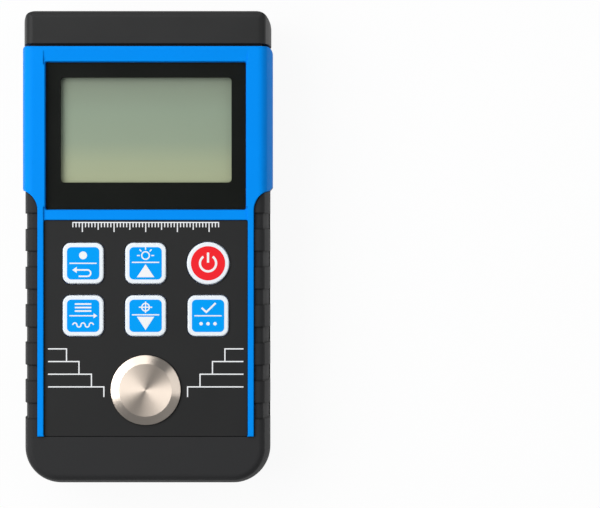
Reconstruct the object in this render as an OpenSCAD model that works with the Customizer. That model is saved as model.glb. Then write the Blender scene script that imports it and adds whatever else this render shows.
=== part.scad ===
// Handheld ultrasonic thickness gauge. It lies on its back with the display up: X runs across it,
// Y towards the probe sockets and Z out of the display. The origin is the middle of the back.

/* [Case] */
// Width over the blue sides
body_w = 80; // [74:0.5:90]
// Length from the foot to the socket end
body_l = 150; // [138:0.5:165]
// Height of the front face above the back
body_h = 30; // [27.5:0.1:34]
// Corner radius at the foot, seen from the front
foot_corner_r = 12.5; // [10:0.5:16]
// Corner radius at the socket end
end_corner_r = 5; // [4.8:0.1:8]
// Rounding of the edges of the socket end
end_edge_r = 2.2; // [1:0.1:3]
// Rounding of the front edges
front_edge_r = 3; // [2.4:0.1:3.2]
// Radius of the slight bulge of the sides and ends
bulge_r = 60; // [50:5:200]
// Height at which the case is widest
widest_z = 14; // [12:0.5:16]
// Rounding of the back edges
back_edge_r = 3; // [2.4:0.1:3.2]
// Wall of the two shells
wall = 2; // [1.6:0.1:2.4]
// Thickness of the back plate
back_t = 3.2; // [3:0.1:3.6]
// Height of the split between the two shells
split_z = 15; // [13:0.5:17]

/* [Rubber boot] */
// Wall of the boot round the shells
boot_wall = 4.2; // [3.6:0.1:5]
// How far the boot lies inside the blue sides
boot_inset = 0.8; // [0.3:0.05:0.9]
// Width of the boot's front lip beside the rails
lip_w = 5.9; // [5:0.1:6.5]
// Height of the boot's foot on the front
foot_h = 15.6; // [14:0.2:18]
// Where the grips end, below the socket end
shoulder_drop = 63; // [58:0.5:70]
// Radius of the rounded upper end of each grip
shoulder_r = 6.4; // [6:0.1:9]
// Distance from one grip rib to the next
rib_pitch = 12; // [10:0.25:13]
// Length of the hollow between two ribs
rib_hollow = 5; // [3:0.25:6]
// Depth of the hollow between two ribs
rib_depth = 0.5; // [0.3:0.05:0.8]
// Number of hollows on each side
rib_count = 6; // [3:1:6]

/* [Rails and panels] */
// Width of the blue rails
rail_w = 1.85; // [1.5:0.05:3]
// Height of the blue rails above the key panel
rail_h = 1; // [0.6:0.1:1.4]
// Width of the blue bar above the window
top_bar = 4.8; // [4:0.1:8]
// Width of the blue bar between the window and the key panel
bar_w = 3.1; // [2.5:0.1:5]
// How far the two bars lie below the rails
bar_drop = 0.5; // [0.2:0.05:0.8]
// Thickness of the key panel's overlay sheet
overlay_t = 0.5; // [0.3:0.05:0.6]

/* [Window and display] */
// Share of the front that the window takes, in hundredths
window_share = 38.1; // [34:0.1:40]
// How far the window is narrower than the key panel at each side
window_step = 0.45; // [0:0.05:1]
// Black border at the sides of the window
border_side = 4.75; // [4:0.05:8]
// Black border above the display
border_top = 4.9; // [4:0.1:8]
// Black border below the display
border_foot = 8.75; // [7:0.05:12]

/* [Keys] */
// Side of a square key
key_size = 12.9; // [10:0.1:13.6]
// Corner radius of a square key
key_r = 2.5; // [1.5:0.1:4]
// Diameter of the round power key
power_d = 13.4; // [10:0.1:13.6]
// Distance from the side of the key panel to the outer key columns
key_margin = 12.6; // [10:0.05:13]
// How far a key stands above the key panel
key_proud = 0.8; // [0.5:0.05:1.2]
// Travel of a key
key_travel = 0.8; // [0.3:0.05:0.8]

/* [Test block] */
// Diameter of the steel test block
block_d = 22; // [18:0.5:24]
// Width of its sloping rim
block_rim = 2.7; // [1.5:0.1:4]
// How far the block stands above the key panel
block_proud = 2; // [1.2:0.1:3]
// Height of the sloping rim
block_bevel = 1.3; // [0.6:0.1:1.5]

/* [Sockets] */
// Length of the black socket end
cap_l = 11.3; // [10.4:0.1:13]
// How far the socket end lies inside the blue sides
cap_inset = 0.5; // [0.3:0.05:0.7]
// Distance between the two probe sockets
socket_pitch = 30; // [20:0.5:34]
// Height of the socket axes above the back
socket_z = 13; // [12:0.25:14]
// Bore of a probe socket
socket_bore_d = 5.1; // [4.6:0.1:5.4]
// Depth of the bore
socket_bore_l = 8.5; // [7:0.25:9]

/* [Cells] */
// Diameter of a cell
cell_d = 14.5; // [13.5:0.1:14.5]
// Length of a cell with its nub
cell_l = 50.5; // [48:0.5:52]
// Length of a pressed contact spring
spring_l = 6.2; // [4:0.2:7]

/* [Hidden] */
$fn = 64;

// Clearances: between fixed pieces, round moving pieces, and the open seam at the socket end
fit = 0.15;
run = 0.25;
touch = 0.05;
seam = 0.9;
// Enough to cut cleanly through any wall
over = 1;

// Colours
blue = [0.0, 0.57, 0.96];
soft_black = [0.17, 0.17, 0.17];
hard_black = [0.21, 0.21, 0.21];
sheet_black = [0.16, 0.16, 0.16];
key_white = [0.93, 0.95, 0.98];
steel = [0.82, 0.77, 0.72];
nickel = [0.78, 0.78, 0.76];
gold = [0.83, 0.66, 0.3];
board_green = [0.05, 0.3, 0.16];

// Case outline
half_w = body_w / 2;
foot_y = -body_l / 2 - boot_inset;
end_y = body_l / 2;
cap_y = end_y - cap_l;
rail_top = body_h;

// Boot: inside its lip and inside its wall
lip_half = half_w - lip_w;
lip_foot_y = foot_y + boot_inset + foot_h;
core_half = half_w - boot_wall;
core_foot_y = foot_y + boot_wall;
lip_t = 3.9;
ledge_z = body_h - lip_t;
boot_z = back_t + 0.1;
shoulder_y = end_y - shoulder_drop;
shoulder_cut = 1;
rib_first_y = shoulder_y - 0.9;
shell_corner_r = 1.6;

// Cells and their bay, from the back up
cell_gap = 0.35;
cell_pitch = cell_d + 0.7;
bay_half = cell_pitch / 2 + cell_d / 2 + 0.75;
bay_wall = 1.8;
door_t = 1.9;
door_z = 0.3;
door_top_z = door_z + door_t;
groove_z = door_z + 0.9;
groove_h = 1;
groove_depth = 1.5;
cell_z = door_top_z + cell_gap + cell_d / 2;
bay_top_z = cell_z + cell_d / 2 + 0.3;
bay_roof = 1.4;
plate_t = 0.5;
plate_w = 10;
nub_l = 1;
nub_d = 5.5;
bay_l = cell_l + spring_l + 2 * plate_t + 2 * touch;
bay_foot_y = core_foot_y + 6.5;
bay_head_y = bay_foot_y + bay_l;
tab_w = 4;
spring_wire = 0.8;
spring_d = 8;
spring_turns = 4;

// Sheets above the bay share the room that is left under the front
front_room = body_h - bay_top_z - bay_roof;
lens_t = 0.107 * front_room;
web_t = 0.124 * front_room;
lcd_t = 0.16 * front_room;
backlight_t = 0.178 * front_room;
board_t = 0.142 * front_room;

// Front, from the socket end down: top bar, window, bar, key panel
front_l = cap_y - lip_foot_y;
panel_w = 2 * (lip_half - rail_w);
window_l = front_l * window_share / 100;
window_top_y = cap_y - top_bar;
window_y = window_top_y - window_l / 2;
panel_top_y = window_top_y - window_l - bar_w;
panel_foot_y = lip_foot_y - 0.1;
panel_l = panel_top_y - panel_foot_y;
panel_mid_y = (panel_top_y + panel_foot_y) / 2;
panel_z = rail_top - rail_h;
lens_z = panel_z + 0.2;
recess_z = panel_z - overlay_t;
lens_seat_z = lens_z - lens_t;
web_z = min(recess_z - web_t, lens_seat_z - web_t);
recess_r = 0.6;

// Display stack, hung under the window
window_w = panel_w - 2 * window_step;
view_w = window_w - 2 * border_side;
view_l = window_l - border_top - border_foot;
view_y = window_top_y - border_top - view_l / 2;
lcd_edge = 1.2;
holder_wall = 1.2;
lcd_w = view_w + 2 * lcd_edge;
lcd_l = view_l + 3 * lcd_edge;
holder_w = lcd_w + 2 * (fit + holder_wall);
holder_l = lcd_l + 2 * (fit + holder_wall);
holder_top_z = web_z - touch;
holder_lip = 0.4;
lcd_z = holder_top_z - holder_lip - lcd_t;
backlight_z = lcd_z - backlight_t;
board_top_z = backlight_z;
board_z = board_top_z - board_t;
strip_w = 2;

// Board outline
board_w = holder_w + 0.6;
board_top_y = view_y + holder_l / 2 + 0.3;
board_foot_y = panel_foot_y + 2.4;
board_l = board_top_y - board_foot_y;

// Keys
key_pitch_x = panel_w / 2 - key_margin + 0.05;
key_pitch_y = 0.242 * panel_l;
key_row_y = panel_top_y - 0.2 * panel_l;
key_flange = min(0.9, (min(key_pitch_x, key_pitch_y) - max(key_size, power_d)) / 2 - 0.2);
flange_t = 0.8;
key_top_z = panel_z + key_proud;
key_edge = 0.45;
flange_top_z = web_z - touch;
flange_z = flange_top_z - flange_t;
mat_t = 1;
dome_d = 11;
stem_d = 6.4;
stem_l = 0.6;
dome_top_z = flange_z - stem_l;
key_xy = [for (row = [0, 1], col = [-1, 0, 1]) [col * key_pitch_x, key_row_y - row * key_pitch_y]];
POWER = 2;
mat_w = 2 * key_pitch_x + key_size + 2;
mat_l = key_pitch_y + key_size + 2;

// Test block
block_y = panel_foot_y + 0.215 * panel_l;
block_face_d = block_d - 2 * block_rim;
spigot_d = 10;
nut_t = 2.2;
nut_d = 15;

// Plain label on the back
label_w = 46;
label_l = 34;
label_t = 0.25;
label_r = 2;
label_y = (bay_head_y + cap_y) / 2;

// Parts under the board: place from its middle and its upper end, and size
chip_a = [12, 12, 1.4];
chip_a_at = [-0.235 * board_w, 24];
chip_b = [9, 9, 1.4];
chip_b_at = [0.17 * board_w, 22];
coil_block = [9, 8, 6];
coil_block_at = [0.3 * board_w, 34];
crystal_can = [4.6, 11, 3.5];
crystal_can_at = [-0.034 * board_w, 30];
capacitor_d = 6.3;
capacitor_h = 7;
capacitor_at = [[0.034 * board_w, 40], [0.17 * board_w, 40]];
buzzer_d = 11;
buzzer_h = 5;
buzzer_hole_d = 2;
buzzer_at = [-0.3 * board_w, 39];

// Case screws
case_boss_d = 8.4;
front_boss_d = 6.4;
shank_d = 2.9;
head_d = 5.6;
head_t = 2;
head_seat_z = 9;
screw_reach = 8;
end_screw_y = cap_y - 7.4;
foot_screw_y = core_foot_y + 5.8;
end_screw_x = half_w - wall - front_boss_d / 2 - 1.6;
foot_screw_x = bay_half + bay_wall + case_boss_d / 2 + 1;
screw_xy = [
    [-end_screw_x, end_screw_y], [end_screw_x, end_screw_y],
    [-foot_screw_x, foot_screw_y], [foot_screw_x, foot_screw_y]
];

// Board screws and the posts they go into
post_d = 4.6;
board_shank_d = 1.9;
board_head_d = 3.6;
board_head_t = 1.3;
post_x = board_w / 2 - 3;
post_y = [panel_top_y + bar_w / 2, board_foot_y + post_d];
post_xy = [for (y = post_y, s = [-1, 1]) [s * post_x, y]];
post_bite = 3;

// Sockets
flange_d = 10;
flange_l = 1.5;
pocket_d = 11.4;
pocket_l = 2;
thread_d = 7;
cap_end_t = 4.4;
socket_seat_y = end_y - pocket_l;
socket_mouth_y = socket_seat_y + flange_l;
socket_l = 14;
socket_back_y = socket_mouth_y - socket_l;
socket_nut_d = 11;
socket_nut_l = 2.2;
insulator_l = socket_l - socket_bore_l;
contact_d = 1.2;
tail_l = 3;
lead_d = 1.8;
lead_bend = 4;
cap_lip_half = half_w - wall - 1.6;
cap_lip_l = 2;
cap_lip_t = 1.4;

// A rectangle with round corners
module rounded_rect(w, l, r) {
    square([w - 2 * r, l], center = true);
    square([w, l - 2 * r], center = true);
    for (x = [-1, 1], y = [-1, 1]) translate([x * (w / 2 - r), y * (l / 2 - r)]) circle(r);
}

// A quarter of a disc, in the quadrant given by the two signs
module quarter_disc(r, sx, sy) {
    intersection() {
        circle(r);
        translate([sx > 0 ? 0 : -r, sy > 0 ? 0 : -r]) square(r);
    }
}

// A block with round corners and a rounded upper edge, standing on z = 0
module soft_block(w, l, h, r, edge) {
    module section(reach) {
        square([reach - edge, h]);
        square([reach, h - edge]);
        translate([reach - edge, h - edge]) quarter_disc(edge, 1, 1);
    }
    for (x = [-1, 1], y = [-1, 1]) {
        translate([x * (w / 2 - r), y * (l / 2 - r), 0]) rotate_extrude() section(r);
    }
    translate([0, l / 2 - r, 0]) rotate([90, 0, 0]) linear_extrude(l - 2 * r) {
        section(w / 2);
        mirror([1, 0]) section(w / 2);
    }
    translate([r - w / 2, 0, 0]) rotate([90, 0, 90]) linear_extrude(w - 2 * r) {
        section(l / 2);
        mirror([1, 0]) section(l / 2);
    }
}

// Section from a middle line out to one side: a slight bulge that runs into two round edges
module bulged_section(reach, inset) {
    top = body_h - inset;
    bulge = bulge_r - inset;
    hub = reach - bulge_r;
    front_r = max(front_edge_r - inset, 0.2);
    back_r = max(back_edge_r - inset, 0.2);
    rise = top - front_r - widest_z;
    drop = widest_z - inset - back_r;
    front_x = hub + sqrt(pow(bulge - front_r, 2) - pow(rise, 2)) + 0.01;
    back_x = hub + sqrt(pow(bulge - back_r, 2) - pow(drop, 2)) + 0.01;
    front_z = widest_z + rise * bulge / (bulge - front_r);
    back_z = widest_z - drop * bulge / (bulge - back_r);
    intersection() {
        translate([hub, widest_z]) circle(bulge, $fn = 240);
        union() {
            translate([0, back_z]) square([reach, front_z - back_z]);
            translate([0, inset]) square([back_x, widest_z - inset]);
            translate([0, widest_z]) square([front_x, top - widest_z]);
            intersection() {
                translate([front_x, top - front_r]) circle(front_r);
                translate([front_x, front_z]) square([front_r, front_r]);
            }
            intersection() {
                translate([back_x, inset + back_r]) circle(back_r);
                translate([back_x, back_z - back_r]) square([back_r, back_r]);
            }
        }
    }
}

// One end of the case: two round corners and the straight piece between them, towards +Y
module case_end(corner_r, inset) {
    corner_x = half_w - corner_r;
    for (s = [-1, 1]) translate([s * corner_x, 0, 0]) rotate_extrude() bulged_section(corner_r, inset);
    translate([-corner_x, 0, 0]) rotate([90, 0, 90]) linear_extrude(2 * corner_x) bulged_section(corner_r, inset);
}

// A straight length of the case between two places along Y
module case_length(low_y, high_y, inset) {
    translate([0, high_y, 0]) rotate([90, 0, 0]) linear_extrude(high_y - low_y) {
        bulged_section(half_w, inset);
        mirror([1, 0]) bulged_section(half_w, inset);
    }
}

// The whole outer form of the case; drawn in by 1 mm or more it has a plain socket end
module outer_form(inset = 0) {
    low_y = foot_y + foot_corner_r;
    high_y = inset < 1 ? end_y - end_corner_r : end_y;
    translate([0, low_y, 0]) mirror([0, 1, 0]) case_end(foot_corner_r, inset);
    if (inset < 1) translate([0, high_y, 0]) case_end(end_corner_r, inset);
    case_length(low_y, high_y, inset);
}

// A strip of the case's plan: everything above the shoulders, and a narrower part below them
module shouldered_area(half, low_y, gap) {
    difference() {
        union() {
            translate([-body_w, shoulder_y]) square([2 * body_w, body_l]);
            translate([-half - gap, low_y - gap]) square([2 * (half + gap), shoulder_y - low_y + gap + 0.01]);
        }
        for (s = [-1, 1]) translate([s * (lip_half + shoulder_r), shoulder_y]) circle(shoulder_r - gap);
        if (gap <= 0) {
            for (s = [-1, 1]) translate([s * half_w, shoulder_y + shoulder_r]) rotate(45)
                square(shoulder_cut * sqrt(2) - gap, center = true);
        }
    }
}

// Plan of the shells inside the boot's lip, and inside the boot's wall
module lip_area(gap = 0) shouldered_area(lip_half, lip_foot_y, gap);
module core_area(gap = 0) {
    corner_x = half_w - foot_corner_r;
    corner_y = foot_y + foot_corner_r;
    shouldered_area(lip_half, lip_foot_y, gap);
    translate([-core_half - gap, corner_y]) square([2 * (core_half + gap), shoulder_y - corner_y]);
    translate([-corner_x, core_foot_y - gap]) square([2 * corner_x, corner_y - core_foot_y + gap + 0.01]);
    for (s = [-1, 1]) translate([s * corner_x, corner_y]) circle(foot_corner_r - boot_wall + gap);
}

// Everything on the shells' side of the seam at the socket end, with round upper corners
module shell_side(z0, z1) {
    r = shell_corner_r;
    translate([0, 0, z0]) linear_extrude(z1 - z0) {
        translate([-half_w, foot_y - over]) square([body_w, cap_y - r - foot_y + over]);
        translate([r - half_w, foot_y]) square([body_w - 2 * r, cap_y - foot_y]);
        for (s = [-1, 1]) translate([s * (half_w - r), cap_y - r]) circle(r);
    }
}

// Plan of a key: square with round corners, or round
module key_plan(i, grow) {
    if (i == POWER) circle(d = power_d + 2 * grow);
    else rounded_rect(key_size + 2 * grow, key_size + 2 * grow, key_r + grow);
}

// Blue front shell: rails, window ledge, key web and the bosses behind it
module front_case() {
    color(blue) difference() {
        union() {
            difference() {
                intersection() {
                    outer_form();
                    union() {
                        translate([0, 0, split_z]) linear_extrude(ledge_z - split_z) core_area();
                        translate([0, 0, split_z]) linear_extrude(body_h) lip_area();
                    }
                    shell_side(split_z, body_h + over);
                }
                intersection() {
                    outer_form(wall);
                    union() {
                        linear_extrude(ledge_z - wall) core_area(-wall);
                        linear_extrude(web_z) lip_area(-wall);
                    }
                }
            }
            for (p = screw_xy) front_boss(p);
            for (p = post_xy) translate([p[0], p[1], board_top_z])
                cylinder(d = post_d, h = web_z - board_top_z + touch);
        }
        front_recesses();
        for (p = screw_xy) translate([p[0], p[1], split_z - over])
            cylinder(d = shank_d + 2 * touch, h = screw_reach + over - 0.5);
        for (p = post_xy) translate([p[0], p[1], board_top_z - over])
            cylinder(d = board_shank_d + 2 * touch, h = post_bite + over + 0.3);
    }
}

// Boss that takes a case screw, from the split up to the roof above it
module front_boss(p) {
    roof = p[1] < lip_foot_y ? ledge_z - wall : web_z;
    translate([p[0], p[1], split_z]) cylinder(d = front_boss_d, h = roof - split_z + touch);
}

// Window recess and opening, key panel recess with its holes, the lowered bars and the block's hole
module front_recesses() {
    translate([0, window_y, lens_seat_z]) linear_extrude(body_h) rounded_rect(window_w, window_l, recess_r);
    translate([0, view_y, web_z - over]) linear_extrude(body_h) rounded_rect(view_w + 1, view_l + 1, 1.5);
    translate([0, panel_mid_y, recess_z]) linear_extrude(body_h) rounded_rect(panel_w, panel_l, recess_r);
    for (i = [0:5]) translate([key_xy[i][0], key_xy[i][1], web_z - over])
        linear_extrude(body_h) key_plan(i, run);
    translate([0, block_y, web_z - over]) cylinder(d = spigot_d + 2 * fit, h = body_h);
    translate([-panel_w / 2, panel_top_y - over, rail_top - bar_drop])
        cube([panel_w, bar_w + 2 * over, body_h]);
    translate([-panel_w / 2, 0, 0]) rotate([90, 0, 90]) linear_extrude(panel_w) polygon([
        [window_top_y - over, rail_top - bar_drop], [window_top_y, rail_top - bar_drop],
        [cap_y - over, rail_top], [cap_y - over, rail_top + over], [window_top_y - over, rail_top + over]
    ]);
}

// Black rear shell: back plate, side walls, battery bay and screw bosses
module rear_case() {
    color(hard_black) difference() {
        union() {
            difference() {
                intersection() {
                    outer_form();
                    union() {
                        translate([-body_w, foot_y, 0]) cube([2 * body_w, body_l, back_t]);
                        linear_extrude(split_z) core_area();
                    }
                    shell_side(0, split_z - touch);
                }
                intersection() {
                    outer_form(wall);
                    translate([0, 0, back_t]) linear_extrude(body_h) core_area(-wall);
                }
                intersection() {
                    outer_form(wall);
                    translate([-half_w, 0, back_t]) cube([body_w, body_l, body_h]);
                    translate([-half_w, shoulder_y + shoulder_r + wall, 0]) cube([body_w, body_l, body_h]);
                }
            }
            translate([-bay_half - bay_wall, bay_foot_y - bay_wall, 0.5])
                cube([2 * (bay_half + bay_wall), bay_l + 2 * bay_wall, bay_top_z + bay_roof - 0.5]);
            for (p = screw_xy) translate([p[0], p[1], 0.5])
                cylinder(d = case_boss_d, h = split_z - touch - 0.5);
        }
        bay_space();
        translate([0, label_y, -over]) linear_extrude(label_t + over)
            rounded_rect(label_w + 2 * fit, label_l + 2 * fit, label_r);
        for (p = screw_xy) translate([p[0], p[1], -over]) {
            cylinder(d = head_d + 2 * run, h = head_seat_z + over);
            cylinder(d = shank_d + 2 * run, h = body_h);
        }
    }
}

// Room for the cells, the sliding door, its grooves and the terminal tabs
module bay_space() {
    translate([-bay_half, bay_foot_y, -over]) cube([2 * bay_half, bay_l, bay_top_z + over]);
    translate([-bay_half, foot_y - over, -over])
        cube([2 * bay_half, bay_head_y - foot_y + over, door_top_z + fit + over]);
    translate([-bay_half - groove_depth, foot_y - over, groove_z])
        cube([2 * (bay_half + groove_depth), bay_head_y - foot_y + over, groove_h]);
    for (s = [-1, 1])
        translate([s * cell_pitch / 2 - tab_w / 2 - fit, bay_head_y - plate_t - fit, bay_top_z - over])
        cube([tab_w + 2 * fit, plate_t + 2 * fit, bay_roof + 2 * over]);
}

// Rubber boot round the foot and both sides, with ribbed grips
module grip_boot() {
    color(soft_black) difference() {
        outer_form(boot_inset);
        translate([-body_w, foot_y, -over]) cube([2 * body_w, body_l, boot_z + over]);
        linear_extrude(ledge_z + fit) core_area(fit);
        translate([0, 0, -over]) linear_extrude(body_h + 2 * over) lip_area(fit);
        for (i = [0:rib_count - 1]) rib_cut(rib_first_y - i * rib_pitch);
    }
}

// One hollow between two grip ribs, from its upper edge down
module rib_cut(top_y) {
    difference() {
        translate([-body_w, top_y - rib_hollow, 0]) cube([2 * body_w, rib_hollow, body_h + over]);
        outer_form(boot_inset + rib_depth);
    }
}

// Black socket end: end wall with two pockets, and a lip inside the shells
module socket_cap() {
    low = back_t + fit;
    high = web_z - fit;
    lip_y = cap_y - cap_lip_l;
    inner_half = cap_lip_half - cap_lip_t;
    color(hard_black) difference() {
        union() {
            intersection() {
                case_length(cap_y + seam, end_y + over, cap_inset);
                translate([0, 0, -over]) linear_extrude(body_h + 2 * over) cap_plan();
                translate([-body_w, 0, 0]) rotate([90, 0, 90]) linear_extrude(2 * body_w) cap_profile();
            }
            translate([-cap_lip_half, lip_y, low]) cube([2 * cap_lip_half, cap_lip_l + seam + wall, high - low]);
        }
        translate([-inner_half, lip_y - over, low + cap_lip_t])
            cube([2 * inner_half, end_y - cap_end_t - lip_y + over, high - low - 2 * cap_lip_t]);
        for (s = [-1, 1]) translate([s * socket_pitch / 2, end_y + over, socket_z]) rotate([90, 0, 0]) {
            cylinder(d = pocket_d, h = pocket_l + over);
            cylinder(d = thread_d + 2 * fit, h = cap_l + over);
        }
    }
}

// Plan of the socket end, with two round corners
module cap_plan() {
    side = half_w - cap_inset;
    r = end_corner_r;
    translate([-side, cap_y]) square([2 * side, cap_l - r]);
    translate([r - side, cap_y]) square([2 * (side - r), cap_l]);
    for (s = [-1, 1]) translate([s * (side - r), end_y - r]) circle(r);
}

// Its outline seen from the side, with two round end edges
module cap_profile() {
    r = end_edge_r;
    h = body_h - 2 * cap_inset;
    translate([cap_y, cap_inset]) square([cap_l - r, h]);
    translate([cap_y, cap_inset + r]) square([cap_l, h - 2 * r]);
    for (z = [cap_inset + r, cap_inset + h - r]) translate([end_y - r, z]) circle(r);
}

// Battery door: slides out over the foot on two side tongues, with thumb grooves
module battery_door() {
    thumb_pitch = 2.4;
    thumb_w = 1.1;
    thumb_depth = 0.5;
    door_half = bay_half - fit;
    door_head_y = bay_head_y - fit;
    color(hard_black) difference() {
        intersection() {
            outer_form();
            union() {
                translate([-door_half, foot_y, door_z]) cube([2 * door_half, door_head_y - foot_y, door_t]);
                translate([-door_half - groove_depth, foot_y, groove_z + fit])
                    cube([2 * (door_half + groove_depth), door_head_y - foot_y, groove_h - 2 * fit]);
            }
        }
        for (i = [0:4]) translate([-cell_d / 2, bay_foot_y + i * thumb_pitch, door_z - over])
            cube([cell_d, thumb_w, thumb_depth + over]);
        translate([0, bay_foot_y + 7 * thumb_pitch, door_z - over]) rotate(-90)
            cylinder(r = thumb_pitch, h = thumb_depth + over, $fn = 3);
    }
}

// Plain label in a shallow recess on the back
module back_label() {
    color([0.75, 0.76, 0.77]) translate([0, label_y, touch]) linear_extrude(label_t - touch)
        rounded_rect(label_w, label_l, label_r);
}

// Clear window over the display
module window_lens() {
    color([0.75, 0.8, 0.78, 0.4]) translate([0, window_y, lens_seat_z + touch])
        linear_extrude(lens_t - touch) rounded_rect(window_w - 2 * fit, window_l - 2 * fit, recess_r);
}

// Dark overlay sheet of the key panel
module keypad_overlay() {
    color(sheet_black) translate([0, 0, recess_z]) linear_extrude(overlay_t) difference() {
        translate([0, panel_mid_y]) rounded_rect(panel_w - 2 * fit, panel_l - 2 * fit, recess_r);
        for (i = [0:5]) translate(key_xy[i]) key_plan(i, run);
        translate([0, block_y]) circle(d = block_d + 2 * fit);
    }
}

// Turned steel test block with a sloping rim and a spigot through the web
module test_block() {
    top_z = panel_z + block_proud;
    rim_z = top_z - block_bevel;
    stud_z = web_z - nut_t - 0.2;
    color(steel) translate([0, block_y, 0]) rotate_extrude() polygon([
        [0, stud_z], [spigot_d / 2, stud_z], [spigot_d / 2, recess_z], [block_d / 2, recess_z],
        [block_d / 2, rim_z], [block_face_d / 2, top_z], [0, top_z]
    ]);
}

// Nut that holds the block from behind the web
module block_nut() {
    color(nickel) translate([0, block_y, web_z - nut_t - touch]) difference() {
        cylinder(d = nut_d, h = nut_t, $fn = 6);
        translate([0, 0, -over]) cylinder(d = spigot_d + 2 * touch, h = nut_t + 2 * over);
    }
}

// One key: printed cap, flange that stops it under the web, and a stem that presses its dome
module key(i) {
    flange_h = flange_top_z - flange_z;
    color(key_white) translate([key_xy[i][0], key_xy[i][1], 0]) {
        if (i == POWER) {
            translate([0, 0, flange_z]) rotate_extrude() {
                square([power_d / 2 + key_flange, flange_h]);
                square([power_d / 2 - key_edge, key_top_z - flange_z]);
                square([power_d / 2, key_top_z - flange_z - key_edge]);
                translate([power_d / 2 - key_edge, key_top_z - flange_z - key_edge])
                    quarter_disc(key_edge, 1, 1);
            }
        } else {
            translate([0, 0, flange_z]) soft_block(key_size, key_size, key_top_z - flange_z, key_r, key_edge);
            translate([0, 0, flange_z]) linear_extrude(flange_h) key_plan(i, key_flange);
        }
        translate([0, 0, dome_top_z + touch]) cylinder(d = stem_d, h = stem_l);
    }
}
module key_record() key(0);
module key_up() key(1);
module key_power() key(2);
module key_menu() key(3);
module key_down() key(4);
module key_enter() key(5);

// Rubber mat on the board with a hollow dome under each key
module keypad_mat() {
    mid_y = key_row_y - key_pitch_y / 2;
    dome_h = dome_top_z - board_top_z - mat_t;
    color([0.75, 0.75, 0.72]) difference() {
        union() {
            translate([0, mid_y, board_top_z]) linear_extrude(mat_t) rounded_rect(mat_w, mat_l, 2);
            for (p = key_xy) translate([p[0], p[1], board_top_z + mat_t])
                cylinder(d1 = dome_d, d2 = stem_d + mat_t, h = dome_h);
        }
        for (p = key_xy) translate([p[0], p[1], board_top_z - over])
            cylinder(d = stem_d, h = dome_top_z - board_top_z - mat_t + over);
    }
}

// Circuit board with the holes for its screws
module main_board() {
    color(board_green) translate([0, 0, board_z]) linear_extrude(board_t) difference() {
        translate([0, (board_top_y + board_foot_y) / 2]) rounded_rect(board_w, board_l, 1.5);
        for (p = post_xy) translate(p) circle(d = board_shank_d + 2 * run);
    }
}

// Frame that holds the display on the board
module lcd_holder() {
    color(sheet_black) translate([0, view_y, 0]) difference() {
        translate([0, 0, board_top_z]) linear_extrude(holder_top_z - board_top_z)
            rounded_rect(holder_w, holder_l, 1);
        translate([0, 0, board_top_z - over]) linear_extrude(lcd_z + lcd_t + over - board_top_z)
            square([lcd_w + 2 * fit, lcd_l + 2 * fit], center = true);
        linear_extrude(body_h) rounded_rect(view_w + 1, view_l + 1, 1.5);
    }
}

// Liquid crystal glass
module lcd_panel() {
    color([0.62, 0.67, 0.56]) translate([-lcd_w / 2, view_y - lcd_l / 2, lcd_z]) cube([lcd_w, lcd_l, lcd_t]);
}

// Light guide behind the glass
module backlight() {
    color([0.9, 0.92, 0.88]) translate([-lcd_w / 2, view_y - lcd_l / 2 + strip_w + fit, backlight_z])
        cube([lcd_w, lcd_l - strip_w - fit, backlight_t]);
}

// Elastomer strip that joins the glass to the board
module contact_strip() {
    color([0.35, 0.35, 0.4]) translate([-lcd_w / 2 + 1, view_y - lcd_l / 2, backlight_z])
        cube([lcd_w - 2, strip_w, backlight_t]);
}

// Parts soldered under the board, placed from its upper end down
module under_board(at, size) {
    translate([at[0] - size[0] / 2, board_top_y - at[1] - size[1] / 2, board_z - size[2]]) cube(size);
}
module processor_chip() { color([0.1, 0.1, 0.11]) under_board(chip_a_at, chip_a); }
module amplifier_chip() { color([0.1, 0.1, 0.11]) under_board(chip_b_at, chip_b); }
module pulse_transformer() { color([0.15, 0.15, 0.12]) under_board(coil_block_at, coil_block); }
module crystal() { color(nickel) under_board(crystal_can_at, crystal_can); }
module storage_capacitors() {
    for (at = capacitor_at) color([0.1, 0.12, 0.3])
        translate([at[0], board_top_y - at[1], board_z - capacitor_h])
        cylinder(d = capacitor_d, h = capacitor_h);
}
module buzzer() {
    place = [buzzer_at[0], board_top_y - buzzer_at[1], board_z - buzzer_h];
    color([0.08, 0.08, 0.08]) translate(place) difference() {
        cylinder(d = buzzer_d, h = buzzer_h);
        translate([0, 0, -over]) cylinder(d = buzzer_hole_d, h = buzzer_hole_d + over);
    }
}

// Places something on a socket's axis, with its +Z pointing out of the mouth
module on_socket(side, y) {
    translate([side * socket_pitch / 2, y, socket_z]) rotate([-90, 0, 0]) children();
}

// Nickelled socket shell: flange, threaded body and the bore that takes the probe's plug
module probe_socket(side) {
    color(nickel) on_socket(side, socket_back_y) difference() {
        union() {
            cylinder(d = thread_d, h = socket_l);
            translate([0, 0, socket_l - flange_l]) cylinder(d = flange_d, h = flange_l);
        }
        translate([0, 0, insulator_l]) cylinder(d = socket_bore_d, h = socket_l);
        translate([0, 0, -over]) cylinder(d = socket_bore_d - 1, h = socket_l);
    }
}
module probe_socket_left() probe_socket(-1);
module probe_socket_right() probe_socket(1);

// White insulator at the bottom of each socket
module socket_insulators() {
    for (s = [-1, 1]) color([0.92, 0.9, 0.86]) on_socket(s, socket_back_y) difference() {
        cylinder(d = socket_bore_d - 1 - 2 * touch, h = insulator_l);
        translate([0, 0, -over]) cylinder(d = contact_d + 2 * touch, h = insulator_l + 2 * over);
    }
}

// Gilt centre contact of each socket, with its solder tail
module socket_contacts() {
    for (s = [-1, 1]) color(gold) on_socket(s, socket_back_y - tail_l)
        cylinder(d = contact_d, h = insulator_l + tail_l);
}

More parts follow.
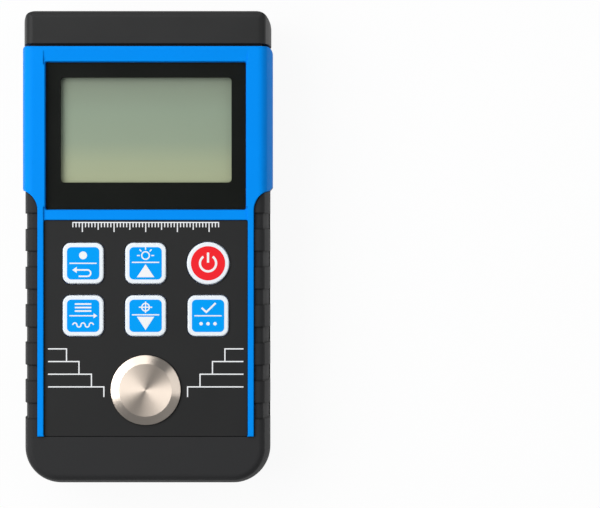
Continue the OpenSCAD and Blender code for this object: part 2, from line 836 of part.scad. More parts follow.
// Hexagon nut behind the end wall on each socket
module socket_nuts() {
    nut_y = end_y - cap_end_t - socket_nut_l - touch;
    for (s = [-1, 1]) color(nickel) on_socket(s, nut_y) difference() {
        cylinder(d = socket_nut_d, h = socket_nut_l, $fn = 6);
        translate([0, 0, -over]) cylinder(d = thread_d + 2 * touch, h = socket_nut_l + 2 * over);
    }
}

// Lead from each socket's tail, bending up to the board
module socket_leads() {
    start_y = socket_back_y - tail_l;
    rise_z = socket_z + lead_bend;
    for (s = [-1, 1]) color([0.7, 0.15, 0.12]) translate([s * socket_pitch / 2, 0, 0]) {
        translate([0, start_y - lead_bend, rise_z]) rotate([0, 90, 180])
            rotate_extrude(angle = 90) translate([lead_bend, 0]) circle(d = lead_d);
        translate([0, start_y - lead_bend - lead_bend, rise_z]) cylinder(d = lead_d, h = board_z - rise_z);
        translate([0, start_y, socket_z]) rotate([90, 0, 0]) cylinder(d = lead_d, h = lead_bend);
    }
}

// One cell, its nub pointing up or down the bay
module cell(side, up) {
    body_top = up > 0 ? bay_head_y - plate_t - touch : bay_head_y - plate_t - touch - spring_l;
    color([0.75, 0.55, 0.2]) translate([side * cell_pitch / 2, body_top - cell_l / 2, cell_z])
        rotate([up > 0 ? -90 : 90, 0, 0]) translate([0, 0, -cell_l / 2]) {
            cylinder(d = cell_d, h = cell_l - nub_l);
            cylinder(d = nub_d, h = cell_l);
        }
}
module cell_left() cell(-1, 1);
module cell_right() cell(1, -1);

// Points of a coil spring's wire ring at one step along its helix
function coil_ring(step, steps, length) = let (
    turn = 360 * spring_turns * step / steps,
    z = spring_wire / 2 + (length - spring_wire) * step / steps
) [for (k = [0:5]) let (
    a = 60 * k,
    r = spring_d / 2 + spring_wire / 2 * cos(a)
) [r * cos(turn), r * sin(turn), z + spring_wire / 2 * sin(a)]];

// Coil spring that stands on z = 0
module coil_spring(length) {
    steps = 12 * spring_turns;
    rings = [for (i = [0:steps]) each coil_ring(i, steps, length)];
    sides = [for (i = [0:steps - 1], k = [0:5]) let (n = (k + 1) % 6)
        [6 * i + n, 6 * (i + 1) + n, 6 * (i + 1) + k, 6 * i + k]];
    polyhedron(rings, concat(sides, [[5, 4, 3, 2, 1, 0]], [[for (k = [0:5]) 6 * steps + k]]));
}

// Sprung plate at the foot of the bay that joins the two cells
module battery_link() {
    span = cell_pitch + plate_w + 2;
    color(nickel) {
        translate([-span / 2, bay_foot_y + touch, cell_z - plate_w / 2]) cube([span, plate_t, plate_w]);
        translate([-cell_pitch / 2, bay_foot_y + touch + plate_t - 0.1, cell_z]) rotate([-90, 0, 0])
            coil_spring(spring_l - 0.1);
    }
}

// Terminal plate at the head of the bay with a tab up to the board
module terminal(side) {
    translate([side * cell_pitch / 2 - plate_w / 2, bay_head_y - plate_t, cell_z - plate_w / 2])
        cube([plate_w, plate_t, plate_w]);
    translate([side * cell_pitch / 2 - tab_w / 2, bay_head_y - plate_t, cell_z])
        cube([tab_w, plate_t, board_z - cell_z]);
}
module terminal_positive() { color(nickel) terminal(-1); }
module terminal_negative() {
    color(nickel) {
        terminal(1);
        translate([cell_pitch / 2, bay_head_y - plate_t + 0.1, cell_z]) rotate([90, 0, 0])
            coil_spring(spring_l - 0.1);
    }
}

// Screw along +Z with its head under z = 0, and a cross recess in the head
module screw(d, head, head_h, length) {
    slot = head / 6;
    difference() {
        union() {
            translate([0, 0, -head_h]) cylinder(d = head, h = head_h);
            translate([0, 0, -touch]) cylinder(d = d, h = length + touch);
        }
        for (a = [0, 90]) rotate(a) translate([-head / 3, -slot / 2, -head_h - over])
            cube([head * 2 / 3, slot, head_h / 2 + over]);
    }
}
module case_screws() {
    for (p = screw_xy) color(nickel) translate([p[0], p[1], head_seat_z])
        screw(shank_d, head_d, head_t, screw_reach + split_z - head_seat_z - over);
}
module board_screws() {
    for (p = post_xy) color(nickel) translate([p[0], p[1], board_z])
        screw(board_shank_d, board_head_d, board_head_t, board_t + post_bite - 0.5);
}

front_case();
rear_case();
grip_boot();
socket_cap();
battery_door();
window_lens();
keypad_overlay();
test_block();
block_nut();
key_record();
key_up();
key_power();
key_menu();
key_down();
key_enter();
keypad_mat();
main_board();
lcd_holder();
lcd_panel();
backlight();
contact_strip();
processor_chip();
amplifier_chip();
pulse_transformer();
storage_capacitors();
buzzer();
crystal();
probe_socket_left();
probe_socket_right();
socket_insulators();
socket_contacts();
socket_nuts();
socket_leads();
cell_left();
cell_right();
battery_link();
terminal_positive();
terminal_negative();
case_screws();
board_screws();
back_label();
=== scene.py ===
"""Handheld ultrasonic thickness gauge, dressed for the camera on a plain pale floor.
The file follows the gauge as it is put together: rear shell, cells and door, board and display,
blue front shell, rubber boot, socket end, window, key panel, keys, test block, then the studio."""

import bpy
import numpy as np
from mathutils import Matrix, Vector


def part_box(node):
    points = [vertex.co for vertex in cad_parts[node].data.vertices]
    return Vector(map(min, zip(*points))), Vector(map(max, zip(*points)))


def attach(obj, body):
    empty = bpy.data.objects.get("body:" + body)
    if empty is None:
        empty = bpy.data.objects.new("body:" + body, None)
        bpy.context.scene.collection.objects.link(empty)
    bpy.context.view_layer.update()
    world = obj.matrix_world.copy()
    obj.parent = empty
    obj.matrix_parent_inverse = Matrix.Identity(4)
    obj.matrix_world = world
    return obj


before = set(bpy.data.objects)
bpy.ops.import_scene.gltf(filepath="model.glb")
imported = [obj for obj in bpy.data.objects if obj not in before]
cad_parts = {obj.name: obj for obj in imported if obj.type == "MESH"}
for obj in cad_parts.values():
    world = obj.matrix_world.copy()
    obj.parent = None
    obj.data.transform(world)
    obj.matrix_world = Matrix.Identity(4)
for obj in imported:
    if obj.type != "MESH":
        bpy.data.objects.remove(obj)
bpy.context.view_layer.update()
MM = 0.001


# Rear shell: black ABS moulding that carries the battery bay, with a fine spark-eroded texture.
# Four cross-head screws in deep wells hold it to the front shell, and a blank film panel
# fills the shallow recess on the back.
def tone(red, green, blue):
    """A screen colour of 0 to 255 as linear light: ((c + 0.055) / 1.055) ** 2.4 on each channel."""
    c = np.array([red, green, blue]) / 255.0
    linear = np.where(c <= 0.04045, c / 12.92, ((c + 0.055) / 1.055) ** 2.4)
    return (*linear.tolist(), 1.0)


def finish(name, colour, rough, metal=0.0, shine=0.5, grain=2200.0, bump=0.08, mottle=0.12, edge=0.25):
    """Surface with a fine bumpy grain, a slow mottle of the colour and of the roughness, and edges
    softened over `edge` mm. Grain and mottle are noise on Object coordinates, in cycles a metre."""
    mottle_scale, rough_spread, grain_depth = 70.0, 0.06, 0.05
    mat = bpy.data.materials.new(name)
    mat.use_nodes = True
    nodes, links = mat.node_tree.nodes, mat.node_tree.links
    shader = nodes["Principled BSDF"]
    shader.inputs["Metallic"].default_value = metal
    shader.inputs["Specular IOR Level"].default_value = shine
    place = nodes.new("ShaderNodeTexCoord")
    slow = nodes.new("ShaderNodeTexNoise")
    slow.inputs["Scale"].default_value = mottle_scale
    slow.inputs["Detail"].default_value = 4.0
    links.new(place.outputs["Object"], slow.inputs["Vector"])
    shade = nodes.new("ShaderNodeMix")
    shade.data_type = "RGBA"
    shade.inputs["A"].default_value = (*[c * (1.0 - mottle) for c in colour[:3]], 1.0)
    shade.inputs["B"].default_value = (*[min(1.0, c * (1.0 + mottle)) for c in colour[:3]], 1.0)
    links.new(slow.outputs["Fac"], shade.inputs["Factor"])
    links.new(shade.outputs["Result"], shader.inputs["Base Color"])
    gloss = nodes.new("ShaderNodeMapRange")
    gloss.inputs["To Min"].default_value = rough - rough_spread
    gloss.inputs["To Max"].default_value = rough + rough_spread
    links.new(slow.outputs["Fac"], gloss.inputs["Value"])
    links.new(gloss.outputs["Result"], shader.inputs["Roughness"])
    fine = nodes.new("ShaderNodeTexNoise")
    fine.inputs["Scale"].default_value = grain
    fine.inputs["Detail"].default_value = 2.0
    links.new(place.outputs["Object"], fine.inputs["Vector"])
    soft = nodes.new("ShaderNodeBevel")
    soft.samples = 4
    soft.inputs["Radius"].default_value = edge * MM
    relief = nodes.new("ShaderNodeBump")
    relief.inputs["Strength"].default_value = bump
    relief.inputs["Distance"].default_value = grain_depth * MM
    links.new(fine.outputs["Fac"], relief.inputs["Height"])
    links.new(soft.outputs["Normal"], relief.inputs["Normal"])
    links.new(relief.outputs["Normal"], shader.inputs["Normal"])
    return mat


def dress(material, *nodes):
    """Puts one material on each named node of the frame."""
    for name in nodes:
        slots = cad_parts[name].data.materials
        slots.clear()
        slots.append(material)


black_shell = finish("black_shell", tone(44, 44, 44), 0.5, shine=0.16, grain=3000.0, bump=0.22)
screw_steel = finish("screw_steel", tone(176, 176, 174), 0.3, metal=1.0, grain=5000.0, bump=0.05)
blank_film = finish("blank_film", tone(40, 40, 41), 0.42, shine=0.2, grain=5000.0, bump=0.06, mottle=0.05)
dress(black_shell, "rear_case")
dress(screw_steel, "case_screws", "board_screws")
dress(blank_film, "back_label")

# Cells, their nickelled contacts and the sliding door: two plain-sleeved cells lie head to tail in
# the bay, between a sprung link plate at the foot and two terminals whose tabs reach the board.
cell_sleeve = finish("cell_sleeve", tone(46, 48, 52), 0.32, grain=900.0, bump=0.03)
nickel = finish("nickel", tone(214, 211, 204), 0.2, metal=1.0, grain=4000.0, bump=0.03, mottle=0.05,
                edge=0.15)
dress(cell_sleeve, "cell_left", "cell_right")
dress(nickel, "battery_link", "terminal_positive", "terminal_negative")
dress(black_shell, "battery_door")

# Circuit board: green solder mask with the parts of the pulse circuit soldered under it. The display
# stack and the silicone key mat lie on its upper face.
board_mask = finish("board_mask", tone(24, 92, 52), 0.4, grain=1400.0, bump=0.1, mottle=0.2)
chip_resin = finish("chip_resin", tone(36, 36, 38), 0.6, grain=5000.0, bump=0.1)
sleeve_blue = finish("sleeve_blue", tone(32, 40, 92), 0.35, grain=900.0, bump=0.03)
lead_red = finish("lead_red", tone(176, 38, 32), 0.4, grain=1500.0, bump=0.04)
silicone = finish("silicone", tone(190, 190, 186), 0.6, grain=2500.0, bump=0.06)
milky_guide = finish("milky_guide", tone(230, 234, 226), 0.3, grain=1200.0, bump=0.02, mottle=0.03)
dress(board_mask, "main_board")
dress(chip_resin, "processor_chip", "amplifier_chip", "pulse_transformer", "buzzer")
dress(nickel, "crystal")
dress(sleeve_blue, "storage_capacitors")
dress(lead_red, "socket_leads")
dress(silicone, "keypad_mat", "contact_strip")
dress(milky_guide, "backlight")
dress(black_shell, "lcd_holder")


# Display: unlit liquid crystal glass, grey-green and yellower at its foot, with painted shade that makes it
# a little darker toward its upper end. It lies nearly two millimetres under the window, so the window's
# border shades its rim.
def object_y(mat):
    """The socket that gives Y of the Object coordinates, in metres."""
    nodes, links = mat.node_tree.nodes, mat.node_tree.links
    where = nodes.new("ShaderNodeTexCoord")
    axes = nodes.new("ShaderNodeSeparateXYZ")
    links.new(where.outputs["Object"], axes.inputs["Vector"])
    return axes.outputs["Y"]


def display_glass(name, foot_y, head_y):
    """Colour with painted shade runs along Y through five tones, darkest at head_y: t = (y - foot_y) /
    (head_y - foot_y), from 0 to 1.
    """
    mat = finish(name, tone(168, 173, 152), 0.34, grain=900.0, bump=0.02, mottle=0.02)
    nodes, links = mat.node_tree.nodes, mat.node_tree.links
    foot_tone, shaded_head_tone = tone(186, 193, 155), tone(140, 150, 131)
    between = {0.22: tone(179, 189, 155), 0.4: tone(161, 176, 151), 0.65: tone(157, 173, 150)}
    along = nodes.new("ShaderNodeMapRange")
    along.inputs["From Min"].default_value = foot_y
    along.inputs["From Max"].default_value = head_y
    links.new(object_y(mat), along.inputs["Value"])
    ramp = nodes.new("ShaderNodeValToRGB")
    ramp.color_ramp.elements[0].color = foot_tone
    ramp.color_ramp.elements[1].color = shaded_head_tone
    for t, colour in between.items():
        ramp.color_ramp.elements.new(t).color = colour
    links.new(along.outputs["Result"], ramp.inputs["Fac"])
    links.new(ramp.outputs["Color"], nodes["Principled BSDF"].inputs["Base Color"])
    return mat


lcd_low, lcd_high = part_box("lcd_panel")
dress(display_glass("display_glass", lcd_low[1], lcd_high[1]), "lcd_panel")

# Front shell: bright blue ABS with a smooth, softly polished skin. Its rails stand proud of the
# window and the key panel, and its sides turn down to the split.
blue_shell = finish("blue_shell", tone(0, 140, 240), 0.6, shine=0.04, grain=1500.0, bump=0.05, mottle=0.03,
                    edge=0.55)
dress(blue_shell, "front_case")


# Boot: one soft black moulding round the foot and both sides, with flat ribs that the fingers grip.
# Its skin is matt, with a slight bloom, and painted shade darkens the colour at the sharp ends of the hollows
# between the ribs.
def math_node(mat, operation, *values):
    """Output of a Math node. Each value is a number or the output of another node."""
    node = mat.node_tree.nodes.new("ShaderNodeMath")
    node.operation = operation
    for socket, value in zip(node.inputs, values):
        if isinstance(value, float):
            socket.default_value = value
        else:
            mat.node_tree.links.new(value, socket)
    return node.outputs["Value"]


def paint_crease_shade(mat, first_y, pitch, hollow, count, line, core=0.4, dark=0.3):
    """Paints shade into the colour at both ends of each hollow along Y. t counts pitches down from first_y,
    and the distance to a crease is the smaller of pingpong(t, 1/2) and |fract(t) - hollow / pitch|. The
    painted shade takes the colour to `dark` times its own out to core * line and clears at line; past the
    last hollow there is none."""
    nodes, links = mat.node_tree.nodes, mat.node_tree.links
    shader = nodes["Principled BSDF"]
    t = math_node(mat, "MULTIPLY_ADD", object_y(mat), -1.0 / (pitch * MM), first_y / pitch)
    from_end = math_node(mat, "SUBTRACT", math_node(mat, "FRACT", t), hollow / pitch)
    lower = math_node(mat, "ABSOLUTE", from_end)
    near = math_node(mat, "MINIMUM", math_node(mat, "PINGPONG", t, 0.5), lower)
    past = math_node(mat, "GREATER_THAN", t, count - 0.5)
    clear = nodes.new("ShaderNodeMapRange")
    clear.inputs["From Min"].default_value = core * line / pitch
    clear.inputs["From Max"].default_value = line / pitch
    clear.inputs["To Min"].default_value = dark
    links.new(math_node(mat, "MAXIMUM", near, past), clear.inputs["Value"])
    crease_shade_tint = nodes.new("ShaderNodeMix")
    crease_shade_tint.data_type = "RGBA"
    crease_shade_tint.blend_type = "MULTIPLY"
    crease_shade_tint.inputs["Factor"].default_value = 1.0
    links.new(shader.inputs["Base Color"].links[0].from_socket, crease_shade_tint.inputs["A"])
    links.new(clear.outputs["Result"], crease_shade_tint.inputs["B"])
    links.new(crease_shade_tint.outputs["Result"], shader.inputs["Base Color"])


soft_rubber = finish("soft_rubber", tone(31, 31, 32), 0.8, shine=0.46, grain=2600.0, bump=0.25, mottle=0.16)
# Painted shade at the ends of the hollows between the boot's ribs.
paint_crease_shade(soft_rubber, first_y=11.1, pitch=12.0, hollow=5.0, count=6.0, line=0.4)
dress(soft_rubber, "grip_boot")

# Socket end: black moulded end cap with two nickelled coaxial sockets let into it. Each socket has a
# white insulator and a gilt centre contact, and a nut holds it from inside.
insulator_white = finish("insulator_white", tone(232, 228, 220), 0.45, grain=2000.0, bump=0.05, mottle=0.04)
gilt = finish("gilt", tone(222, 178, 92), 0.22, metal=1.0, grain=4000.0, bump=0.03)
dress(black_shell, "socket_cap")
dress(nickel, "probe_socket_left", "probe_socket_right", "socket_nuts", "block_nut")
dress(insulator_white, "socket_insulators")
dress(gilt, "socket_contacts")


# Window: a clear acrylic sheet, glued into its recess. Black ink on its back leaves only the view of
# the display open, with slightly rounded corners, and a foam frame under it keeps dust off the glass.
def rounded_outline(width, length, radius, at=(0.0, 0.0), steps=9):
    """Anticlockwise outline of a rounded rectangle in mm: a corner centre plus radius times
    (cos a, sin a), with a from 0 to 90 degrees at the first corner and on round the other three."""
    turn = np.linspace(0.0, np.pi / 2, steps)[None, :] + np.arange(4)[:, None] * np.pi / 2
    sx = np.array([1, -1, -1, 1])[:, None]
    sy = np.array([1, 1, -1, -1])[:, None]
    x = at[0] + sx * (width / 2 - radius) + radius * np.cos(turn)
    y = at[1] + sy * (length / 2 - radius) + radius * np.sin(turn)
    return np.stack([x.ravel(), y.ravel()], axis=1)


def band(outer, inner, low, high):
    """Flat ring between two outlines of equal count: a four-point section (outer low, outer high,
    inner high, inner low) carried round the outline and closed on itself."""
    n = len(outer)
    rings = [(outer, low), (outer, high), (inner, high), (inner, low)]
    points = np.concatenate([np.c_[o, np.full(n, z)] for o, z in rings])
    i = np.arange(n)[None, :]
    k = np.arange(4)[:, None]
    after, up = (i + 1) % n, (k + 1) % 4
    faces = np.stack([k * n + i, k * n + after, up * n + after, up * n + i], axis=-1).reshape(-1, 4)
    return points, faces.tolist()


def piece(name, parts, material, body):
    """One mesh object from parts of (points in mm, faces), carried by a body of the frame."""
    offsets = np.cumsum([0] + [len(p) for p, _ in parts])
    points = np.concatenate([p for p, _ in parts]) * MM
    faces = [[int(v) + int(o) for v in f] for (_, group), o in zip(parts, offsets) for f in group]
    mesh = bpy.data.meshes.new(name)
    mesh.from_pydata(points.tolist(), [], faces)
    mesh.update()
    mesh.materials.append(material)
    obj = bpy.data.objects.new(name, mesh)
    bpy.context.collection.objects.link(obj)
    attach(obj, body)


def box_mm(node):
    """A node's lowest and highest corners in mm."""
    low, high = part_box(node)
    return np.array(low) / MM, np.array(high) / MM


clear_acrylic = finish("clear_acrylic", tone(12, 14, 13), 0.06, grain=500.0, bump=0.01, mottle=0.01, edge=0.2)
clear_acrylic.node_tree.nodes["Principled BSDF"].inputs["Alpha"].default_value = 0.06
window_ink = finish("window_ink", tone(22, 24, 21), 0.3, shine=0.14, grain=1800.0, bump=0.02, mottle=0.05,
                    edge=0.02)
# Near-black colour for the real foam frame, also used for the painted-shade rings round the key panel and the
# test block.
foam_and_shade_black = finish("foam_and_shade_black", tone(9, 9, 9), 0.8, shine=0.05, grain=3500.0, bump=0.2, edge=0.05)
dress(clear_acrylic, "window_lens")

lens_low, lens_high = box_mm("window_lens")
view_low, view_high = box_mm("lcd_panel")
lens_mid, view_mid = (lens_low + lens_high) / 2, (view_low + view_high) / 2
lens_trim, view_margin, foam_lap = 0.1, np.array([2.4, 3.6]), 0.9
lens_corner, view_corner, foam_corner = 0.6, 1.2, 1.4
sheet_size = (lens_high - lens_low)[:2] - lens_trim
view_size = (view_high - view_low)[:2] - view_margin
sheet_edge = rounded_outline(*sheet_size, lens_corner, lens_mid)
view_edge = rounded_outline(*view_size, view_corner, view_mid)
foam_edge = rounded_outline(*(view_size + foam_lap), foam_corner, view_mid)
border_z = (lens_low[2] - 0.045, lens_low[2] - 0.005)
foam_z = (view_high[2] + 0.02, lens_low[2] - 0.05)
piece("window_border", [band(sheet_edge, view_edge, *border_z)], window_ink, "gauge")
piece("window_foam", [band(foam_edge, view_edge, *foam_z)], foam_and_shade_black, "gauge")


# Key panel: a dark matt printed sheet between the rails, ringed by a thin near-black band that is painted
# shade for the dark gap along its edge. A row of fine scale marks runs along its top and two flights of
# steps, the sign for thickness, flank the test block; all of it is white ink, and where two lines cross one
# lies a coat higher.
def plate(outline, low, high, edge=0.01):
    """Thin plate over an anticlockwise outline: rings at low, at high - edge, and at high drawn in by
    edge along the outline's inward normal, with a face over each end."""
    n = len(outline)
    along = np.roll(outline, -1, axis=0) - np.roll(outline, 1, axis=0)
    along /= np.maximum(np.linalg.norm(along, axis=1, keepdims=True), 1e-9)
    inner = outline + edge * np.c_[-along[:, 1], along[:, 0]]
    rings = [(outline, low), (outline, high - edge), (inner, high)]
    points = np.concatenate([np.c_[o, np.full(n, z)] for o, z in rings])
    i = np.arange(n)[None, :]
    k = np.arange(2)[:, None]
    after, up = (i + 1) % n, k + 1
    walls = np.stack([k * n + i, k * n + after, up * n + after, up * n + i], axis=-1).reshape(-1, 4)
    ends = [list(range(n - 1, -1, -1)), list(range(2 * n, 3 * n))]
    return points, walls.tolist() + ends


def stroke(start, end, width):
    """Outline of a straight line of the given width: both ends moved half a width to each side."""
    a, b = np.array(start, float), np.array(end, float)
    d = (b - a) / np.linalg.norm(b - a)
    n = np.array([-d[1], d[0]]) * width / 2
    return np.array([a - n, b - n, b + n, a + n])


panel_sheet = finish("panel_sheet", tone(35, 35, 35), 0.5, shine=0.2, grain=3200.0, bump=0.16, mottle=0.06,
                     edge=0.1)
white_ink = finish("white_ink", tone(240, 241, 242), 0.5, grain=2500.0, bump=0.03, mottle=0.02, edge=0.02)
dress(panel_sheet, "keypad_overlay")
panel_low, panel_high = box_mm("keypad_overlay")
ink_low, ink_high, coat = panel_high[2], panel_high[2] + 0.03, 0.004

mark_end, mark_top, mark_width = 23, 8.0, 0.34
long_mark, middle_mark, short_mark = 2.9, 2.2, 1.4
base_x, base_y = mark_end + mark_width / 2, 8.1
mark_x = np.arange(-mark_end, mark_end + 1)
mark_l = np.where(mark_x % 10 == 0, long_mark, np.where(mark_x % 5 == 0, middle_mark, short_mark))
marks = [plate(stroke((x, mark_top - l), (x, mark_top), mark_width), ink_low, ink_high)
         for x, l in zip(mark_x, mark_l)]
marks.append(plate(stroke((-base_x, base_y), (base_x, base_y), mark_width), ink_low, ink_high + coat))
piece("scale_marks", marks, white_ink, "gauge")

step_out, step_in, step_run = 30.85, 25.0, 3.93
step_head, step_foot, step_rise = -31.8, -47.0, 4.0
step_width = 0.38
step_x = step_in - step_run * np.arange(4)
step_y = np.append(step_head - step_rise * np.arange(4), step_foot)
lines = []
for side in (-1, 1):
    for x, top, foot in zip(step_x, step_y[:-1], step_y[1:]):
        tread = stroke((side * step_out, top), (side * (x - step_width / 2), top), step_width)
        riser = stroke((side * x, top), (side * x, foot), step_width)
        lines.append(plate(tread, ink_low, ink_high))
        lines.append(plate(riser, ink_low, ink_high + coat))
piece("step_lines", lines, white_ink, "gauge")

# Near-black ring round the panel's edge: painted shade standing in for the dark gap between panel and rails.
shade_line_outer, shade_line_inner, shade_line_corner = 0.28, 0.02, 0.8
shade_line_z = (panel_low[2] + 0.01, panel_low[2] + 0.2)
panel_size, panel_mid = (panel_high - panel_low)[:2], (panel_low + panel_high) / 2
shade_line_edges = [rounded_outline(*(panel_size + gap), shade_line_corner, panel_mid)
              for gap in (shade_line_outer, shade_line_inner)]
piece("panel_shade_line", [band(*shade_line_edges, *shade_line_z)], foam_and_shade_black, "gauge")


# Keys: white moulded caps that stand through the panel. Each carries a thin printed field, blue or
# red for power, and plain white signs.
def disc_outline(at, radius, steps=48):
    """Anticlockwise circle: at plus radius times (cos a, sin a)."""
    a = np.linspace(0, 2 * np.pi, steps, endpoint=False)
    return np.c_[at[0] + radius * np.cos(a), at[1] + radius * np.sin(a)]


def arc_outline(at, radius, width, start=0, end=359.5, steps=40):
    """Outline of an arc of the given width: the outer edge from start to end degrees, then the inner
    edge back. Left as it is, it goes all the way round."""
    a = np.radians(np.linspace(start, end, steps))
    ring = np.c_[np.cos(a), np.sin(a)]
    return np.array(at) + np.concatenate([(radius + width / 2) * ring, (radius - width / 2) * ring[::-1]])


bar_end, bar_width = 4.3, 0.38


def bar(y):
    """The line across a key at height y, between its upper and its lower sign."""
    return stroke((-bar_end, y), (bar_end, y), bar_width)


def signs_record():
    """A dot over a bar, and an arrow that turns back under it: a stroke, a half ring, a stroke and
    its head."""
    right, high, low, width = 1.4, -2.1, -4.1, 0.5
    bend = arc_outline((right, (high + low) / 2), (high - low) / 2, width, -90, 90)
    head = np.array([(-3.4, high), (-2.0, high - 1.0), (-2.0, high + 1.0)])
    return [disc_outline((0, 2.5), 1.25), bar(0), stroke((-2.2, high), (right, high), width), bend,
            stroke((right, low), (-1.4, low), width), head]


def signs_up():
    """A lamp over a bar, a ring with a ray every 45 degrees, and a triangle that points up."""
    lamp_y, ray_in, ray_out = 2.45, 1.8, 2.7
    turn = np.radians(np.arange(0, 181, 45))
    rays = [stroke((ray_in * x, lamp_y + ray_in * y), (ray_out * x, lamp_y + ray_out * y), 0.36)
            for x, y in zip(np.cos(turn), np.sin(turn))]
    triangle = np.array([(-2.75, -4.4), (2.75, -4.4), (0, -0.3)])
    return rays + [arc_outline((0, lamp_y), 1.2, 0.42), bar(0.3), triangle]


def signs_power():
    """A ring open at the top from 55 to 125 degrees, with an upright stroke in the gap."""
    return [arc_outline((0, 0), 2.55, 0.72, 125, 415), stroke((0, 0.2), (0, 3.4), 0.72)]


def signs_menu():
    """Three rows over an arrow, and a wave of five half rings, every second one turned over."""
    rows = [stroke((-2.6, y), (2.6, y), 0.5) for y in (1.5, 2.6, 3.7)]
    starts = [180 * (k % 2) for k in range(5)]
    wave = [arc_outline((-2.6 + 1.3 * k, -2.9), 0.65, 0.4, a, a + 180) for k, a in enumerate(starts)]
    head = np.array([(3.3, -0.8), (4.5, 0), (3.3, 0.8)])
    return rows + wave + [stroke((-bar_end, 0), (3.6, 0), bar_width), head]


def signs_down():
    """A ring with a cross over a bar, and a triangle that points down."""
    ring_y = 2.7
    cross = [stroke((-2.1, ring_y), (2.1, ring_y), 0.36), stroke((0, ring_y - 1.8), (0, ring_y + 1.8), 0.36)]
    triangle = np.array([(2.75, -0.3), (-2.75, -0.3), (0, -4.5)])
    return [arc_outline((0, ring_y), 1.2, 0.4)] + cross + [bar(0.3), triangle]


def signs_enter():
    """A tick of two strokes over a bar, and three dots."""
    tick = [stroke((-2.0, 2.5), (-0.5, 1.1), 0.6), stroke((-0.7, 1.0), (2.4, 4.0), 0.6)]
    return tick + [bar(0)] + [disc_outline((x, -2.5), 0.55, 24) for x in (-2.2, 0, 2.2)]


key_white = finish("key_white", tone(236, 242, 247), 0.34, grain=1600.0, bump=0.03, mottle=0.02, edge=0.25)
field_blue, field_red = [
    finish(name, colour, 0.4, shine=0.05, grain=2000.0, bump=0.04, mottle=0.03, edge=0.02)
    for name, colour in (("field_blue", tone(0, 157, 244)), ("field_red", tone(240, 40, 48)))]
field_side, field_corner, power_radius = 10.2, 1.4, 5.4
field_high, field_edge, sign_high = 0.05, 0.02, 0.08
key_signs = {"key_record": signs_record, "key_up": signs_up, "key_power": signs_power,
             "key_menu": signs_menu, "key_down": signs_down, "key_enter": signs_enter}
for key, signs in key_signs.items():
    dress(key_white, key)
    low, high = box_mm(key)
    middle, top = (low + high) / 2, high[2]
    if key == "key_power":
        field, ink = disc_outline(middle, power_radius, 64), field_red
    else:
        field, ink = rounded_outline(field_side, field_side, field_corner, middle), field_blue
    piece(key + "_field", [plate(field, top, top + field_high, field_edge)], ink, key)
    coats = [plate(s + middle[:2], top + field_high, top + sign_high + coat * i)
             for i, s in enumerate(signs())]
    piece(key + "_signs", coats, white_ink, key)

# Test block: a turned steel disc of known thickness with a flat face and a smoother, sloping rim.
# The cutter's fine rings make the light fan out across its face, and a thin near-black ring in
# the gap round it is painted shade.
turned_steel = finish("turned_steel", tone(236, 221, 206), 0.48, metal=1.0, grain=2500.0, bump=0.02,
                      mottle=0.03, edge=0.15)
face_end, rim_start, face_rough, rim_rough = 8.2, 8.4, 0.5, 0.3
steel_nodes, steel_links = turned_steel.node_tree.nodes, turned_steel.node_tree.links
steel_shader = steel_nodes["Principled BSDF"]
block_low, block_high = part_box("test_block")
block_x, block_y = (block_low[0] + block_high[0]) / 2, (block_low[1] + block_high[1]) / 2
spot = steel_nodes.new("ShaderNodeTexCoord")
outward = steel_nodes.new("ShaderNodeVectorMath")
outward.operation = "MULTIPLY_ADD"
outward.inputs[1].default_value = (1.0, 1.0, 0.0)
outward.inputs[2].default_value = (-block_x, -block_y, 0.0)
steel_links.new(spot.outputs["Object"], outward.inputs[0])
steel_links.new(outward.outputs["Vector"], steel_shader.inputs["Tangent"])
steel_shader.inputs["Anisotropic"].default_value = 0.9
radius = steel_nodes.new("ShaderNodeVectorMath")
radius.operation = "LENGTH"
steel_links.new(outward.outputs["Vector"], radius.inputs[0])
polish = steel_nodes.new("ShaderNodeMapRange")
polish.inputs["From Min"].default_value = face_end * MM
polish.inputs["From Max"].default_value = rim_start * MM
polish.inputs["To Min"].default_value = face_rough
polish.inputs["To Max"].default_value = rim_rough
steel_links.new(radius.outputs["Value"], polish.inputs["Value"])
steel_links.new(polish.outputs["Result"], steel_shader.inputs["Roughness"])
dress(turned_steel, "test_block")

# Near-black ring in the gap round the block: painted shade where the gap falls dark.
shade_ring_outer, shade_ring_inner = 0.14, 0.01
block_mid, block_r = (block_x / MM, block_y / MM), (block_high[0] - block_low[0]) / 2 / MM
shade_ring_edges = [disc_outline(block_mid, block_r + gap, 96) for gap in (shade_ring_outer, shade_ring_inner)]
piece("block_shade_ring", [band(*shade_ring_edges, *shade_line_z)], foam_and_shade_black, "gauge")

# Studio: a plain pale floor that keeps a faint shadow and can be seen through from below, and three
# large soft lights, a strong one at the left, a weak one at the right and one past the socket end,
# in an even pale surround. The camera looks straight down.
floor_level, floor_glow = -0.0004, 0.93
floor_corners = [(x, y, floor_level) for x, y in ((-3, -4), (3, -4), (3, 3), (-3, 3))]
floor_mesh = bpy.data.meshes.new("floor")
floor_mesh.from_pydata(floor_corners, [], [(0, 1, 2, 3)])
floor = bpy.data.objects.new("floor", floor_mesh)
bpy.context.collection.objects.link(floor)
floor_mat = bpy.data.materials.new("pale_floor")
floor_mat.use_nodes = True
floor_nodes, floor_links = floor_mat.node_tree.nodes, floor_mat.node_tree.links
floor_shader = floor_nodes["Principled BSDF"]
floor_shader.inputs["Base Color"].default_value = (0.86, 0.86, 0.86, 1.0)
floor_shader.inputs["Roughness"].default_value = 0.9
floor_shader.inputs["Specular IOR Level"].default_value = 0.0
glow = floor_nodes.new("ShaderNodeEmission")
glow.inputs["Color"].default_value = (1.0, 1.0, 1.0, 1.0)
ray = floor_nodes.new("ShaderNodeLightPath").outputs
mirrored = math_node(floor_mat, "MAXIMUM", ray["Is Glossy Ray"], ray["Is Transmission Ray"])
seen = math_node(floor_mat, "MAXIMUM", ray["Is Camera Ray"], mirrored)
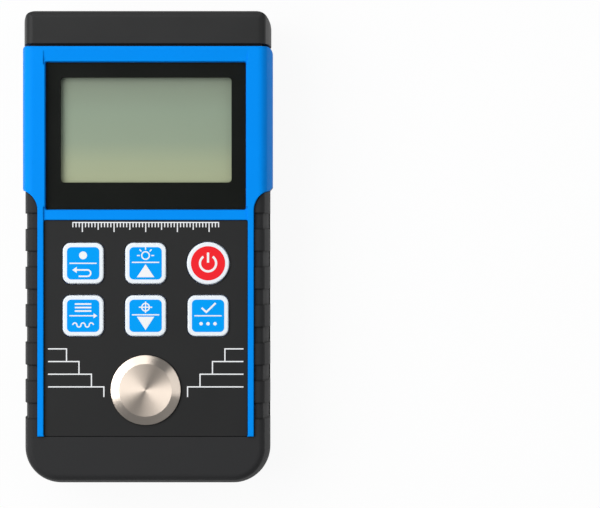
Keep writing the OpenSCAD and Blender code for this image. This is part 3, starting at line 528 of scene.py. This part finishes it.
blend = floor_nodes.new("ShaderNodeMixShader")
floor_links.new(math_node(floor_mat, "MULTIPLY", seen, floor_glow), blend.inputs["Fac"])
floor_links.new(floor_shader.outputs["BSDF"], blend.inputs[1])
floor_links.new(glow.outputs["Emission"], blend.inputs[2])
below = floor_nodes.new("ShaderNodeNewGeometry")
clear = floor_nodes.new("ShaderNodeBsdfTransparent")
one_sided = floor_nodes.new("ShaderNodeMixShader")
floor_links.new(below.outputs["Backfacing"], one_sided.inputs["Fac"])
floor_links.new(blend.outputs["Shader"], one_sided.inputs[1])
floor_links.new(clear.outputs["BSDF"], one_sided.inputs[2])
floor_links.new(one_sided.outputs["Shader"], floor_nodes["Material Output"].inputs["Surface"])
floor_mesh.materials.append(floor_mat)

world = bpy.data.worlds.new("surround")
world.use_nodes = True
surround = world.node_tree.nodes["Background"]
surround.inputs["Color"].default_value = (0.9, 0.95, 1.0, 1.0)
surround.inputs["Strength"].default_value = 0.2
bpy.context.scene.world = world


def soft_light(name, place, size, power):
    """Square area light at place, turned so that its -Z axis points at the gauge."""
    aim = np.array([0.0, 0.0, 0.02])
    data = bpy.data.lights.new(name, "AREA")
    data.shape = "SQUARE"
    data.size = size
    data.energy = power
    obj = bpy.data.objects.new(name, data)
    obj.location = place
    away = np.array(place) - aim
    away /= np.linalg.norm(away)
    obj.rotation_euler = (np.arccos(away[2]), 0.0, np.arctan2(away[1], away[0]) + np.pi / 2)
    bpy.context.collection.objects.link(obj)


soft_light("key_light", place=(-0.82, 0.12, 0.96), size=1.0, power=13.9)
soft_light("fill_light", place=(0.94, 0.16, 0.7), size=0.9, power=2.6)
soft_light("head_light", place=(-0.36, 0.86, 0.9), size=1.0, power=5.8)

camera = bpy.data.cameras.new("camera")
camera.sensor_width = 36.0
camera.lens = 158.9
eye = bpy.data.objects.new("camera", camera)
eye.location = (0.0487, -0.00185, 0.865)
bpy.context.collection.objects.link(eye)
scene = bpy.context.scene
scene.camera = eye
scene.view_settings.view_transform = "Standard"
